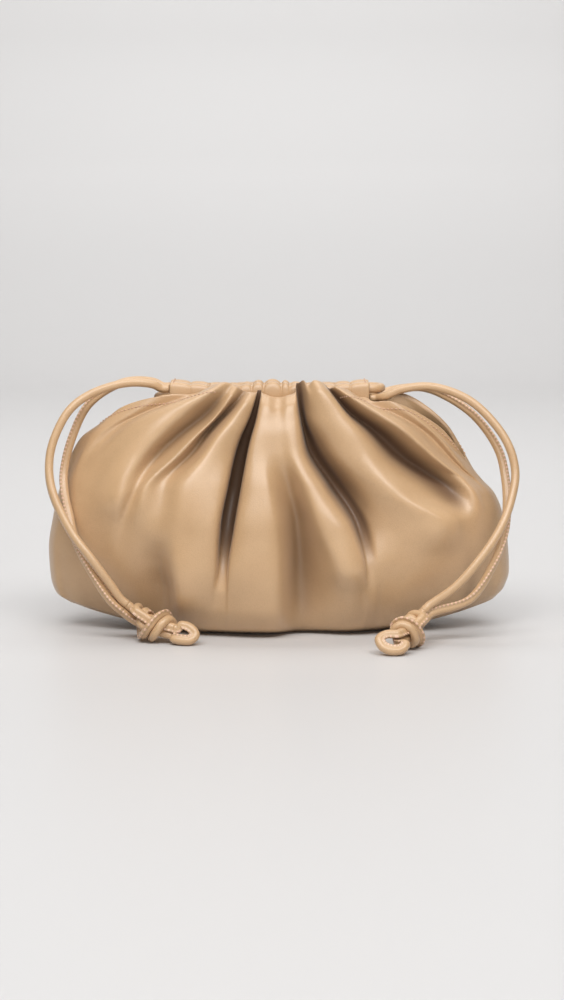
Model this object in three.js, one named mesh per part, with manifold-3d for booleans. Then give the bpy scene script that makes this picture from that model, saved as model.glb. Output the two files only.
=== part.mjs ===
// A soft leather pouch bag, gathered at the mouth by two drawstrings, standing on its base.
// Each drawstring is a ring of round leather cord. It runs through both channels in the mouth, leaves
// them at one end of the bag as two strands, and is tied there in an overhand knot with an end loop.
// Millimetres, +Z up, front towards -Y. The origin is on the surface that the bag stands on, under its middle.
import * as THREE from "three";
import { mergeVertices } from "three/addons/utils/BufferGeometryUtils.js";
import Module from "manifold-3d";

// Driving sizes of the pouch.
const BAG_WIDTH = 300;
const BAG_DEPTH = 126;
const BAG_HEIGHT = 157;
const LEATHER = 1.8;
const PLEAT_DEPTH = 17;
const PLEAT_PINCH = 1.8;
const VENT_DROP = { left: 9, right: 12 };
const VENT_RUN = 6;

// Driving sizes of the drawstring channels, which lie against the inside of the mouth.
const CHANNEL_LEFT = -70;
const CHANNEL_RIGHT = 58;
const CHANNEL_TOP = 160;
const CHANNEL_SKIN = 1.2;
const CHANNEL_RUCHE = 0.6;
const RUCHE_PITCH = 11.6;
const MOUTH_GAP = 6;

// Driving sizes of the drawstrings.
const CORD_DIAMETER = 5.6;
const CORD_CLEARANCE = 0.4;
const CORD_SIDES = 8;
const CORD_STEP = 2.8;
const KNOT_STEP = 0.9;
const LOOP_STEP = 1.4;

// Straight lengths of cord on each side of a channel's end and a knot's entry.
const LEAD = 5;

// The gap left between pieces that touch on the real bag, and under the knots.
const SEAT_GAP = 0.3;

// How finely the round and ruched pieces are drawn.
const TURN_STEPS = 8;
const SLEEVE_POINTS = 12;
const SLEEVE_SQUARENESS = 0.25;

// Sizes that follow from those above.
const CHANNEL_THICKNESS = CORD_DIAMETER + 2 * CORD_CLEARANCE + 2 * CHANNEL_SKIN;
const CHANNEL_HEIGHT = 2 * CORD_DIAMETER + 3 * CORD_CLEARANCE + 2 * CHANNEL_SKIN;
const CHANNEL_Y = MOUTH_GAP / 2 + CHANNEL_RUCHE + CHANNEL_THICKNESS / 2;
const LANE_STEP = CORD_DIAMETER + CORD_CLEARANCE;
const UPPER_LANE = CHANNEL_TOP - CHANNEL_RUCHE - CHANNEL_SKIN - CORD_CLEARANCE - CORD_DIAMETER / 2;
const LOWER_LANE = UPPER_LANE - LANE_STEP;
const VALLEY_Y = CHANNEL_Y + CHANNEL_THICKNESS / 2 + CHANNEL_RUCHE + SEAT_GAP + LEATHER;
const CREST_Y = VALLEY_Y + PLEAT_DEPTH;

// Level sections of the pouch, from the rim (run 0) down to the edge of the base (run 1).
// Heights are shares of BAG_HEIGHT, half widths of half BAG_WIDTH, and half depths of half BAG_DEPTH.
// crest and valley are the depths that the pleats' ridges and valleys reach in the middle of the section.
// The section stays at its height out to the share "level" of its half width and then falls or climbs to
// the height of its end by the power "fall". square is the power that rounds its plan.
const HALF_DEPTH = BAG_DEPTH / 2;
const SECTIONS = [
  { run: 0.0, height: 1.0, left: 0.76, right: 0.69, leftEnd: 0.835, rightEnd: 0.85,
    crest: CREST_Y / HALF_DEPTH, valley: VALLEY_Y / HALF_DEPTH, square: 5.0, level: 0.5, fall: 4.0 },
  { run: 0.12, height: 0.885, left: 0.85, right: 0.75, leftEnd: 0.785, rightEnd: 0.8,
    crest: 0.57, valley: 0.26, square: 3.4, level: 0.4, fall: 3.0 },
  { run: 0.25, height: 0.755, left: 0.907, right: 0.81, leftEnd: 0.69, rightEnd: 0.705,
    crest: 0.67, valley: 0.27, square: 2.6, level: 0.0, fall: 2.0 },
  { run: 0.4, height: 0.61, left: 0.947, right: 0.9, leftEnd: 0.577, rightEnd: 0.6,
    crest: 0.81, valley: 0.4, square: 2.4, level: 0.0, fall: 2.0 },
  { run: 0.55, height: 0.45, left: 0.98, right: 0.96, leftEnd: 0.45, rightEnd: 0.487,
    crest: 0.935, valley: 0.58, square: 2.3, level: 0.0, fall: 2.0 },
  { run: 0.7, height: 0.29, left: 1.0, right: 0.993, leftEnd: 0.32, rightEnd: 0.346,
    crest: 1.0, valley: 0.74, square: 2.3, level: 0.0, fall: 2.0 },
  { run: 0.85, height: 0.13, left: 0.993, right: 1.0, leftEnd: 0.205, rightEnd: 0.23,
    crest: 0.955, valley: 0.8, square: 2.3, level: 0.0, fall: 2.0 },
  { run: 0.95, height: 0.032, left: 0.973, right: 0.98, leftEnd: 0.14, rightEnd: 0.16,
    crest: 0.8, valley: 0.7, square: 2.4, level: 0.2, fall: 2.0 },
  { run: 1.0, height: 0.0, left: 0.933, right: 0.94, leftEnd: 0.11, rightEnd: 0.115,
    crest: 0.635, valley: 0.6, square: 2.6, level: 0.33, fall: 1.7 },
];

// The front's pleats from left to right. "at" is each line's place, as a share of the half width, and "out"
// how far it stands out, from 0 at the valley depth to 1 at the crest depth, both at the runs in FOLD_RUNS.
// lift raises the rim there, in shares of BAG_HEIGHT, and cuts is the number of facets up to the next line.
const FOLD_RUNS = [0, 0.25, 0.45, 0.65, 1];
const FRONT_FOLDS = [
  { line: "left_end", at: [-1, -1, -1, -1, -1], out: [-0.5, 0.2, 0.9, 1, 1], lift: 0, cuts: 4 },
  { line: "left_vent", at: [-0.8, -0.88, -0.93, -0.95, -0.95], out: [-0.5, 0.3, 0.8, 1, 1], lift: 0, cuts: 5 },
  { line: "ridge_a", at: [-0.35, -0.65, -0.73, -0.75, -0.75], out: [1, 1, 1, 1, 1], lift: 0.028, cuts: 3 },
  { line: "valley_ab", at: [-0.235, -0.42, -0.54, -0.56, -0.58], out: [0.5, 0.45, 0.85, 1, 1], lift: 0, cuts: 3 },
  { line: "ridge_b", at: [-0.175, -0.315, -0.39, -0.335, -0.37], out: [1, 1, 1, 1, 1], lift: -0.012, cuts: 4 },
  { line: "valley_bc", at: [-0.097, -0.17, -0.2, -0.215, -0.22], out: [0, 0, 0.25, 0.75, 1], lift: 0.005, cuts: 4 },
  { line: "ridge_c1", at: [-0.045, -0.08, -0.1, -0.105, -0.13], out: [0.9, 0.95, 0.95, 1, 1], lift: -0.038, cuts: 2 },
  { line: "valley_c", at: [-0.008, 0.0, 0.03, 0.047, 0.055], out: [0.86, 0.92, 0.8, 0.65, 0.75], lift: -0.042, cuts: 2 },
  { line: "ridge_c2", at: [0.03, 0.095, 0.137, 0.235, 0.3], out: [0.9, 1, 1, 1, 1], lift: -0.038, cuts: 4 },
  { line: "valley_cd", at: [0.092, 0.15, 0.27, 0.35, 0.42], out: [0, 0, 0.3, 0.8, 1], lift: 0.005, cuts: 4 },
  { line: "ridge_d", at: [0.19, 0.31, 0.47, 0.53, 0.55], out: [1, 1, 1, 1, 1], lift: 0.028, cuts: 4 },
  { line: "valley_de", at: [0.31, 0.47, 0.67, 0.72, 0.72], out: [0.1, 0.15, 0.6, 1, 1], lift: -0.005, cuts: 4 },
  { line: "ridge_e", at: [0.4, 0.82, 0.875, 0.88, 0.88], out: [0.95, 0.95, 1, 1, 1], lift: -0.012, cuts: 4 },
  { line: "right_vent", at: [0.75, 0.93, 0.95, 0.955, 0.955], out: [-0.5, 0.4, 0.85, 0.95, 1], lift: 0, cuts: 4 },
  { line: "right_end", at: [1, 1, 1, 1, 1], out: [-0.5, 0.2, 0.9, 1, 1], lift: 0, cuts: 0 },
];
const LIFT_RUN = 0.2;
const PINCH_RUN = 0.45;
const RIDGE_FLATNESS = 1.35;

// The back's pleats are the front's, in the order met when the bag is turned round.
const BACK_FOLDS = [...FRONT_FOLDS].reverse().map((fold, i, all) => ({
  line: "back_" + fold.line,
  at: fold.at.map((share) => -share),
  out: fold.out,
  lift: fold.lift,
  cuts: i + 1 < all.length ? all[i + 1].cuts : 0,
}));
const FOLDS = { front: FRONT_FOLDS, back: BACK_FOLDS };

// Where the rings of facets lie, from the rim to the base edge, and on across the base.
const WALL_RUNS = [0, 0.05, 0.11, 0.18, 0.26, 0.34, 0.42, 0.51, 0.61, 0.72, 0.83, 0.92, 1];
const BASE_RINGS = 2;

const clamp01 = (x) => Math.min(1, Math.max(0, x));
const mix = (a, b, t) => a + (b - a) * t;
const smooth = (t) => clamp01(t) ** 2 * (3 - 2 * clamp01(t));

// A curve through the values at the given places, with slopes held so that it never overshoots them.
function curveAt(places, values, at) {
  const last = places.length - 1;
  let i = 0;
  while (i < last - 1 && at > places[i + 1]) i += 1;
  const grade = (k) => (values[k + 1] - values[k]) / (places[k + 1] - places[k]);
  const slope = (k) => {
    if (k === 0) return grade(0);
    if (k === last) return grade(last - 1);
    const before = grade(k - 1);
    const after = grade(k);
    return before * after <= 0 ? 0 : (2 * before * after) / (before + after);
  };
  const span = places[i + 1] - places[i];
  const t = clamp01((at - places[i]) / span);
  const eased = t * t * (3 - 2 * t);
  const start = t * (1 - t) * (1 - t) * span * slope(i);
  const end = t * t * (1 - t) * span * slope(i + 1);
  return mix(values[i], values[i + 1], eased) + start - end;
}

const SECTION_RUNS = SECTIONS.map((row) => row.run);
const SECTION_VALUES = Object.fromEntries(
  Object.keys(SECTIONS[0]).map((column) => [column, SECTIONS.map((row) => row[column])]),
);
const section = (column, run) => curveAt(SECTION_RUNS, SECTION_VALUES[column], run);

// A fold line's place, standing out and rim lift at one run.
function foldLine(side, index, run) {
  const fold = FOLDS[side][index];
  return {
    at: curveAt(FOLD_RUNS, fold.at, run),
    out: curveAt(FOLD_RUNS, fold.out, run),
    lift: fold.lift * (1 - smooth(run / LIFT_RUN)),
  };
}

// Height of a section at a share of its half width. The rim drops behind the ends of the channels.
function heightAt(share, run) {
  const end = share < 0 ? "left" : "right";
  const half = (BAG_WIDTH / 2) * section(end, run);
  const channelEnd = share < 0 ? -CHANNEL_LEFT : CHANNEL_RIGHT;
  const beyond = smooth((Math.abs(share) * half - channelEnd) / VENT_RUN);
  const drop = VENT_DROP[end] * beyond * (1 - smooth(run / LIFT_RUN));
  const middle = BAG_HEIGHT * section("height", run) - drop;
  const last = BAG_HEIGHT * section(end + "End", run);
  const level = section("level", run);
  const past = clamp01((Math.abs(share) - level) / (1 - level));
  return mix(middle, last, past ** section("fall", run));
}

// A point of the outer surface. place counts the fold lines from the left end, with fractions between them.
function wallPoint(side, place, run) {
  const lines = FOLDS[side].length;
  const index = Math.min(Math.floor(place), lines - 2);
  const t = place - index;
  const here = foldLine(side, index, run);
  const next = foldLine(side, index + 1, run);
  const rising = next.out > here.out;
  const warped = rising ? 1 - (1 - t) ** RIDGE_FLATNESS : t ** RIDGE_FLATNESS;
  const eased = (1 - Math.cos(Math.PI * warped)) / 2;
  const share = mix(here.at, next.at, t);
  const out = mix(here.out, next.out, eased);
  const half = (BAG_WIDTH / 2) * section(share < 0 ? "left" : "right", run);
  const round = Math.sqrt(Math.max(0, 1 - Math.abs(share) ** section("square", run)));
  const depth = HALF_DEPTH * round * mix(section("valley", run), section("crest", run), out);
  const inner = index > 0 && index < lines - 2;
  const pinch = inner ? PLEAT_PINCH * (1 - smooth(run / PINCH_RUN)) * (here.out - next.out) : 0;
  return new THREE.Vector3(
    share * half + pinch * Math.sin(Math.PI * t),
    side === "front" ? -depth : depth,
    heightAt(share, run) + BAG_HEIGHT * mix(here.lift, next.lift, eased),
  );
}

// The wall's outward direction at a point.
function wallNormal(side, place, run) {
  const step = 0.002;
  const last = FOLDS[side].length - 1;
  if (place < step || place > last - step) {
    const inward = place < step ? step : last - step;
    const normal = wallNormal(side, inward, run);
    return normal.setY(0).normalize();
  }
  const high = Math.max(0, run - step);
  const low = Math.min(1, run + step);
  const across = wallPoint(side, place + step, run).sub(wallPoint(side, place - step, run));
  const down = wallPoint(side, place, low).sub(wallPoint(side, place, high));
  const normal = across.cross(down).normalize();
  return side === "front" ? normal.negate() : normal;
}

// Every column of facets, as the place of its fold line, from the left end to the right end.
function columnPlaces(side) {
  const places = [];
  FOLDS[side].forEach((fold, index) => {
    for (let cut = 0; cut < fold.cuts; cut += 1) {
      const t = cut / fold.cuts;
      const first = index === 0;
      const last = index === FOLDS[side].length - 2;
      places.push(index + (first ? t * t : last ? 1 - (1 - t) ** 2 : t));
    }
  });
  places.push(FOLDS[side].length - 1);
  return places;
}

// One ring round the bag: along the front from left to right, and back along the back.
function ringOf(pointOn) {
  const front = columnPlaces("front");
  const back = columnPlaces("back");
  const last = front.length - 1;
  const ring = [];
  for (let i = 0; i < last; i += 1) ring.push(pointOn("front", front[i], i / last));
  for (let i = last; i > 0; i -= 1) ring.push(pointOn("back", back[i], i / last));
  return ring;
}

// A ring across the base, with inset 0 at its edge and 1 on its middle line.
function baseRing(inset, raised) {
  return ringOf((side, place, order) => {
    const edge = wallPoint(side, place, 1);
    const halfOf = (share) => (BAG_WIDTH / 2) * section(share < 0 ? "left" : "right", 1);
    const own = edge.x / halfOf(edge.x);
    const share = mix(own, 2 * order - 1, inset);
    const point = new THREE.Vector3(share * halfOf(share), edge.y * (1 - inset), heightAt(share, 1));
    return point.setZ(point.z + raised);
  });
}

// The skin over a row of rings that have the same number of points. A closed row joins its last ring to
// its first, and an open row's end rings have no opening of their own or are closed by a fan.
function skinRings(rings, { closed = false, capped = false } = {}) {
  const count = rings[0].length;
  const flat = rings.flat();
  const faces = [];
  const rows = closed ? rings.length : rings.length - 1;
  for (let r = 0; r < rows; r += 1) {
    const next = (r + 1) % rings.length;
    for (let i = 0; i < count; i += 1) {
      const j = (i + 1) % count;
      const [a, b, c, d] = [r * count + i, r * count + j, next * count + j, next * count + i];
      const short = flat[a].distanceTo(flat[c]) <= flat[b].distanceTo(flat[d]);
      faces.push(...(short ? [a, b, c, a, c, d] : [a, b, d, b, c, d]));
    }
  }
  if (capped) {
    for (let i = 1; i < count - 1; i += 1) {
      const end = (rings.length - 1) * count;
      faces.push(0, i + 1, i, end, end + i, end + i + 1);
    }
  }
  return weldFaces(flat, faces);
}

// An indexed geometry from points and faces, with equal points merged, thin faces dropped and faces out.
function weldFaces(points, faces) {
  const loose = new THREE.BufferGeometry();
  loose.setAttribute("position", new THREE.Float32BufferAttribute(points.flatMap((p) => p.toArray()), 3));
  loose.setIndex(faces);
  const welded = mergeVertices(loose, 1e-3);
  const kept = [];
  const index = welded.index.array;
  for (let i = 0; i < index.length; i += 3) {
    const [a, b, c] = [index[i], index[i + 1], index[i + 2]];
    if (a !== b && b !== c && c !== a) kept.push(a, b, c);
  }
  welded.setIndex(kept);
  if (signedVolume(welded) < 0) {
    for (let i = 0; i < kept.length; i += 3) [kept[i], kept[i + 1]] = [kept[i + 1], kept[i]];
    welded.setIndex(kept);
  }
  return welded;
}

function signedVolume(geometry) {
  const position = geometry.getAttribute("position");
  const corner = (i) => new THREE.Vector3().fromBufferAttribute(position, geometry.index.array[i]);
  let sum = 0;
  for (let i = 0; i < geometry.index.count; i += 3) {
    sum += corner(i).dot(corner(i + 1).cross(corner(i + 2))) / 6;
  }
  return sum;
}

// The pouch: the outer skin up from the base's middle line, over the rim, and the inner skin back down.
function pouchGeometry() {
  const insets = Array.from({ length: BASE_RINGS }, (_, i) => (i + 1) / BASE_RINGS);
  const outer = WALL_RUNS.map((run) => ringOf((side, place) => wallPoint(side, place, run)));
  const inner = WALL_RUNS.map((run) =>
    ringOf((side, place) => {
      const normal = wallNormal(side, place, run);
      if (run === 1) normal.setZ(normal.z - 1).normalize();
      const scale = run === 1 ? LEATHER / Math.max(0.5, -normal.z) : LEATHER;
      return wallPoint(side, place, run).addScaledVector(normal, -scale);
    }),
  );
  const under = insets.map((inset) => baseRing(inset, 0));
  const floor = insets.map((inset) => baseRing(inset, LEATHER));
  return skinRings([...under.reverse(), ...outer.reverse(), ...inner, ...floor]);
}

// A drawstring channel: a flat leather sleeve with an open lane for two cords, one above the other.
// Its outer skin is ruched along its length.
function channelGeometry(side) {
  const centreY = side === "front" ? -CHANNEL_Y : CHANNEL_Y;
  const centreZ = CHANNEL_TOP - CHANNEL_RUCHE - CHANNEL_HEIGHT / 2;
  const sleeveRing = (x, grow) => {
    const halfY = CHANNEL_THICKNESS / 2 + grow;
    const halfZ = CHANNEL_HEIGHT / 2 + grow;
    return Array.from({ length: SLEEVE_POINTS }, (_, i) => {
      const angle = (2 * Math.PI * (i + 0.5)) / SLEEVE_POINTS;
      const [c, s] = [Math.cos(angle), Math.sin(angle)];
      const y = halfY * Math.sign(c) * Math.abs(c) ** SLEEVE_SQUARENESS;
      const z = halfZ * Math.sign(s) * Math.abs(s) ** SLEEVE_SQUARENESS;
      return new THREE.Vector3(x, centreY + y, centreZ + z);
    });
  };
  const length = CHANNEL_RIGHT - CHANNEL_LEFT;
  const ruches = Math.max(1, Math.round(length / RUCHE_PITCH));
  const outer = Array.from({ length: 2 * ruches + 1 }, (_, i) => {
    const grow = i % 2 === 1 ? CHANNEL_RUCHE : 0;
    return sleeveRing(CHANNEL_LEFT + (length * i) / (2 * ruches), grow);
  });
  const inner = [CHANNEL_RIGHT, CHANNEL_LEFT].map((x) => sleeveRing(x, -CHANNEL_SKIN));
  return skinRings([...outer, ...inner], { closed: true });
}

// A round cord along a curve, with a step every so many diameters.
function cordGeometry(curve, diameters = CORD_STEP) {
  const section = Array.from({ length: CORD_SIDES }, (_, i) => {
    const angle = (2 * Math.PI * i) / CORD_SIDES;
    return new THREE.Vector2(Math.cos(angle), Math.sin(angle)).multiplyScalar(CORD_DIAMETER / 2);
  });
  const steps = Math.ceil(curve.getLength() / (diameters * CORD_DIAMETER));
  const sweep = { extrudePath: curve, steps, bevelEnabled: false };
  return new THREE.ExtrudeGeometry(new THREE.Shape(section), sweep);
}
const beyond = (curve, end, reach) => curve.getPoint(end).addScaledVector(curve.getTangent(end), reach);
const smoothCurve = (points) => new THREE.CatmullRomCurve3(points, false, "centripetal");
const vector = ([x, y, z]) => new THREE.Vector3(x, y, z);

// The stretch of a drawstring that the channels hold. It runs in at one end of the front channel, turns
// in the mouth beyond the other end, and runs back through the back channel.
function heldRunGeometry(startX, turnX, lane) {
  const ringAt = (x, y, heading) =>
    Array.from({ length: CORD_SIDES }, (_, i) => {
      const angle = (2 * Math.PI * (i + 0.5)) / CORD_SIDES;
      const across = (CORD_DIAMETER / 2) * Math.cos(angle);
      const z = lane + (CORD_DIAMETER / 2) * Math.sin(angle);
      return new THREE.Vector3(x + across * Math.cos(heading), y + across * Math.sin(heading), z);
    });
  const outward = Math.sign(turnX - startX);
  const turn = Array.from({ length: TURN_STEPS + 1 }, (_, i) => {
    const angle = (Math.PI * i) / TURN_STEPS - Math.PI / 2;
    const x = turnX + outward * CHANNEL_Y * Math.cos(angle);
    return ringAt(x, CHANNEL_Y * Math.sin(angle), outward * angle);
  });
  const [first, last] = [-1, 1].map((end) => ringAt(startX, end * CHANNEL_Y, (outward * end * Math.PI) / 2));
  return skinRings([first, ...turn, last], { capped: true });
}

// The overhand knot, tied in both strands at once. Each row is a place of the middle between the two
// strands, in cord diameters along, above and out from the knot's middle. side turns the line from one
// strand to the other, in degrees from the knot's axis towards its upper side.
const KNOT_ROUTE = [
  { along: -3.5, up: 1.0, out: 0.1, side: 90 },
  { along: -2.5, up: 0.45, out: -0.2, side: 90 },
  { along: -1.4, up: 0.1, out: -0.4, side: 90 },
  { along: 0.0, up: 0.0, out: -0.5, side: 90 },
  { along: 1.15, up: 0.1, out: -0.75, side: 100 },
  { along: 1.75, up: 0.75, out: -0.85, side: 135 },
  { along: 1.45, up: 1.3, out: -0.1, side: 165 },
  { along: 1.05, up: 0.85, out: 0.95, side: 180 },
  { along: 0.6, up: -0.3, out: 1.35, side: 180 },
  { along: 0.1, up: -1.15, out: 0.75, side: 180 },
  { along: -0.4, up: -1.35, out: -0.35, side: 180 },
  { along: -0.95, up: -0.65, out: -1.25, side: 180 },
  { along: -1.4, up: 0.4, out: -1.35, side: 180 },
  { along: -1.7, up: 1.2, out: -0.6, side: 165 },
  { along: -1.6, up: 1.05, out: 0.3, side: 140 },
  { along: -0.9, up: 0.4, out: 0.6, side: 100 },
  { along: 0.1, up: 0.0, out: 0.55, side: 90 },
  { along: 1.2, up: 0.0, out: 0.4, side: 90 },
  { along: 2.8, up: 0.0, out: 0.3, side: 90 },
];

// The centre lines of a knot's two strands, the upper one first, with the knot lying on the floor.
function knotCurves({ x, y, axis, hand }) {
  const along = vector(axis).normalize();
  const out = new THREE.Vector3(0, 0, 1).cross(along).multiplyScalar(-hand).normalize();
  const up = out.clone().cross(along).multiplyScalar(hand).normalize();
  const place = (row) => {
    const point = along.clone().multiplyScalar(row.along);
    return point.addScaledVector(up, row.up).addScaledVector(out, row.out).multiplyScalar(CORD_DIAMETER);
  };
  const middle = KNOT_ROUTE.map(place);
  const strand = (sign) =>
    middle.map((point, i) => {
      const before = middle[Math.max(0, i - 1)];
      const after = middle[Math.min(middle.length - 1, i + 1)];
      const tangent = after.clone().sub(before).normalize();
      const angle = THREE.MathUtils.degToRad(KNOT_ROUTE[i].side);
      const side = along.clone().multiplyScalar(Math.cos(angle)).addScaledVector(up, Math.sin(angle));
      side.addScaledVector(tangent, -side.dot(tangent)).normalize();
      return point.clone().addScaledVector(side, (sign * CORD_DIAMETER) / 2);
    });
  const strands = [strand(1), strand(-1)];
  const spread = strands.flatMap((points) => smoothCurve(points).getPoints(90));
  const lowest = Math.min(...spread.map((point) => point.z));
  const lift = new THREE.Vector3(x, y, SEAT_GAP + CORD_DIAMETER / 2 - lowest);
  return strands.map((points) => smoothCurve(points.map((point) => point.add(lift))));
}

// Knots, free strands and end loops. Route points are chosen places of the cord's middle. A strand
// runs from its lane in the channel to the knot, and a loop joins the knot's two strands beyond it.
const TIES = [
  {
    name: "left", exit: CHANNEL_LEFT, turn: CHANNEL_RIGHT, lane: UPPER_LANE,
    knot: { x: -80, y: -61, axis: [0.93, -0.3, -0.22], hand: 1 },
    front: [[-81, -10, 158], [-98, -13, 159], [-121, -17, 152], [-134, -22, 142], [-144, -28, 122],
      [-146, -33, 106], [-143, -39, 91], [-131, -48, 68], [-119, -54, 53], [-107, -56, 37]],
    back: [[-82, 9, 158], [-100, 6, 158], [-122, 0, 145], [-133, -8, 124], [-138, -16, 102],
      [-137, -23, 89], [-134, -28.5, 77], [-129, -38.5, 60.5], [-118, -50, 42], [-107, -55, 26]],
    loop: [[-61, -68, 12], [-55, -70, 10.5], [-52, -72, 6.5], [-55, -74, 3.5], [-60, -74, 3.2], [-66, -71, 4]],
  },
  {
    name: "right", exit: CHANNEL_RIGHT, turn: CHANNEL_LEFT, lane: LOWER_LANE,
    knot: { x: 81, y: -82, axis: [-0.52, -0.85, -0.08], hand: -1 },
    front: [[68, -13, 150.5], [78, -14, 155], [96, -14, 157], [115, -17, 152], [129, -21, 143], [145, -29, 123],
      [150, -35, 105], [147, -43, 88], [139, -53, 70], [125, -61, 51], [110, -64, 35]],
    back: [[68, 13, 150.5], [78, 13, 153], [94, 9, 154], [110, 4, 148], [127, -2, 136], [141, -13, 116], [145, -22, 98],
      [145, -34, 80], [142, -45, 64], [134, -54, 46], [120, -61, 27]],
    loop: [[66, -98, 12], [61.5, -101, 9.5], [63.5, -104, 5.4], [69, -106, 3.3], [75, -105, 3.6], [78, -102, 6.5]],
  },
];
const wasm = await Module();
wasm.setup();

// One solid out of a knot's two strands.
function fuse(geometries) {
  const solids = geometries.map((geometry) => {
    const bare = geometry.clone();
    bare.deleteAttribute("normal");
    bare.deleteAttribute("uv");
    const merged = mergeVertices(bare, 1e-3);
    const mesh = new wasm.Mesh({
      numProp: 3,
      vertProperties: Float32Array.from(merged.getAttribute("position").array),
      triVerts: Uint32Array.from(merged.index.array),
    });
    return new wasm.Manifold(mesh);
  });
  const joined = solids.reduce((sum, solid) => sum.add(solid)).getMesh();
  const geometry = new THREE.BufferGeometry();
  geometry.setAttribute("position", new THREE.Float32BufferAttribute(joined.vertProperties, 3));
  geometry.setIndex([...joined.triVerts]);
  return geometry;
}

const TAN = new THREE.MeshStandardMaterial({ color: 0xc49a6c, roughness: 0.45, metalness: 0 });
const bag = new THREE.Group();
function addPiece(name, geometry) {
  geometry.computeVertexNormals();
  const mesh = new THREE.Mesh(geometry, TAN.clone());
  mesh.name = name;
  bag.add(mesh);
}

addPiece("pouch_body", pouchGeometry());
addPiece("channel_front", channelGeometry("front"));
addPiece("channel_back", channelGeometry("back"));

for (const tie of TIES) {
  const outward = Math.sign(tie.exit);
  addPiece(`drawstring_${tie.name}_run`, heldRunGeometry(tie.exit, tie.turn, tie.lane));

  const knot = knotCurves(tie.knot);
  addPiece(`knot_${tie.name}`, fuse(knot.map((curve) => cordGeometry(curve, KNOT_STEP))));

  ["front", "back"].forEach((side, i) => {
    const lane = new THREE.Vector3(tie.exit, side === "front" ? -CHANNEL_Y : CHANNEL_Y, tie.lane);
    const start = [SEAT_GAP, LEAD].map((reach) => lane.clone().setX(tie.exit + outward * reach));
    const entry = [LEAD, SEAT_GAP].map((reach) => beyond(knot[i], 0, -reach));
    const strand = smoothCurve([...start, ...tie[side].map(vector), ...entry]);
    addPiece(`drawstring_${tie.name}_${side}_strand`, cordGeometry(strand));
  });

  const leave = knot.map((curve) => [SEAT_GAP, LEAD / 2].map((reach) => beyond(curve, 1, reach)));
  const loop = smoothCurve([...leave[0], ...tie.loop.map(vector), ...leave[1].reverse()]);
  addPiece(`end_loop_${tie.name}`, cordGeometry(loop, LOOP_STEP));
}

export default bag;
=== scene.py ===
import math
from collections import namedtuple

import bmesh
import bpy
import numpy as np
from mathutils import Matrix, Vector


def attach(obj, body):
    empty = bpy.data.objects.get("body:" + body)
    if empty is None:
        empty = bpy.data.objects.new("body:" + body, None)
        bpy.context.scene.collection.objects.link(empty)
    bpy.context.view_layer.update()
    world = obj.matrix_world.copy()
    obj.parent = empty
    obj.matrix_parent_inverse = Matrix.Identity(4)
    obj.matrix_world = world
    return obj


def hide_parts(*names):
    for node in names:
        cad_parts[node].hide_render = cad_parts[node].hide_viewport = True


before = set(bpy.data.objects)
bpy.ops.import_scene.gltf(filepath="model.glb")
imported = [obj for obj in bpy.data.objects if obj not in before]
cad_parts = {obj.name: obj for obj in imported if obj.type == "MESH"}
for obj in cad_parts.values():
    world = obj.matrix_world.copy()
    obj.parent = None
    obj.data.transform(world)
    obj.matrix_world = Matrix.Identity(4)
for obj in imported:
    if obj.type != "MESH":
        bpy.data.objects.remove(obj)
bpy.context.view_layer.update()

# A gathered pouch of soft tan leather with two drawstrings. Lengths below are in millimetres and are
# turned into metres where a mesh is made. The front faces -Y.
MM = 0.001

# Sizes of the pouch, its channels and its cords.
BAG_WIDTH, BAG_DEPTH, BAG_HEIGHT = 300, 126, 157
LEATHER = 1.8
HALF_DEPTH = BAG_DEPTH / 2
CHANNEL_LEFT, CHANNEL_RIGHT, CHANNEL_TOP = -70, 58, 160
CHANNEL_SKIN, CHANNEL_RUCHE, MOUTH_GAP = 1.2, 0.6, 6
CORD_DIAMETER, CORD_CLEARANCE, SEAT_GAP, LEAD = 5.6, 0.4, 0.3, 5
CHANNEL_THICKNESS = CORD_DIAMETER + 2 * CORD_CLEARANCE + 2 * CHANNEL_SKIN
CHANNEL_HEIGHT = 2 * CORD_DIAMETER + 3 * CORD_CLEARANCE + 2 * CHANNEL_SKIN
CHANNEL_Y = MOUTH_GAP / 2 + CHANNEL_RUCHE + CHANNEL_THICKNESS / 2
UPPER_LANE = CHANNEL_TOP - CHANNEL_RUCHE - CHANNEL_SKIN - CORD_CLEARANCE - CORD_DIAMETER / 2
LOWER_LANE = UPPER_LANE - CORD_DIAMETER - CORD_CLEARANCE
VALLEY_ROOM = 1
VALLEY_Y = CHANNEL_Y + CHANNEL_THICKNESS / 2 + CHANNEL_RUCHE + SEAT_GAP + LEATHER + VALLEY_ROOM
PLEAT_DEPTH = 10
CREST_Y = VALLEY_Y + PLEAT_DEPTH

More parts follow.
